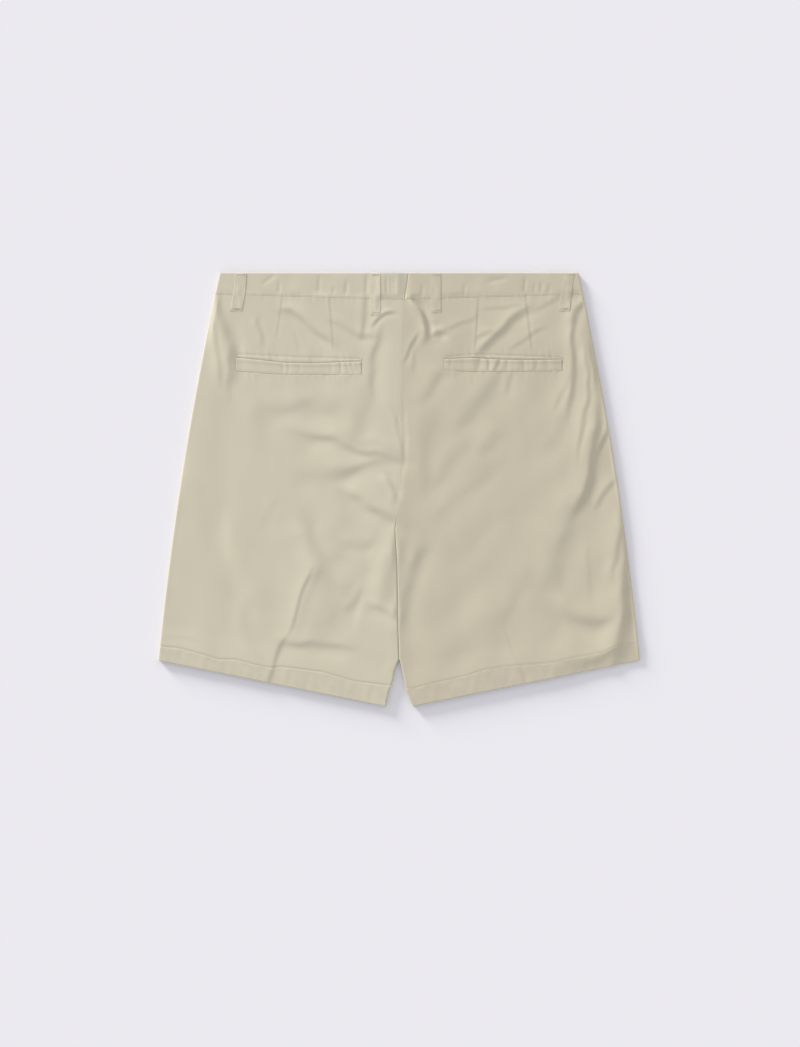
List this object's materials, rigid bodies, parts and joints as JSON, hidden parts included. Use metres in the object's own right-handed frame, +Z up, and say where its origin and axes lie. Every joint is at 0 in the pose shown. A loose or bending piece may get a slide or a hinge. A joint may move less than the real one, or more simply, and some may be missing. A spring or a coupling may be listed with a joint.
{
  "type": "bermuda shorts",
  "caption": "Cotton twill bermuda shorts laid flat with the back upwards: waistband with belt loops, darts, single-welt back pockets, centre back seam and hemmed legs.",
  "frame": {"origin": "on the surface that the shorts lie on, under the middle of their outline", "axes": "+Z up from the surface, through the fronts to the backs; +Y from the hems to the waistband; +X to the wearer's right"},
  "size_m": [0.5774, 0.519, 0.0111],
  "materials": {
    "twill": "piece-dyed cotton twill, stone khaki, soft low sheen",
    "twill_waistband": "the same twill over interlining, smooth and stiffer",
    "twill_trim": "the same twill in folded strips, edge-stitched",
    "button": "moulded horn-look button, half matt"
  },
  "bodies": {
    "root": {"back_left": "twill", "back_right": "twill", "front_left": "twill", "front_right": "twill", "waistband_left": "twill_waistband", "waistband_right": "twill_waistband", "belt_loop_side_left": "twill_trim", "belt_loop_centre_left": "twill_trim", "belt_loop_centre_right": "twill_trim", "belt_loop_side_right": "twill_trim", "pocket_welt_left": "twill_trim", "pocket_welt_right": "twill_trim", "waist_button": "button"}
  },
  "joints": []
}
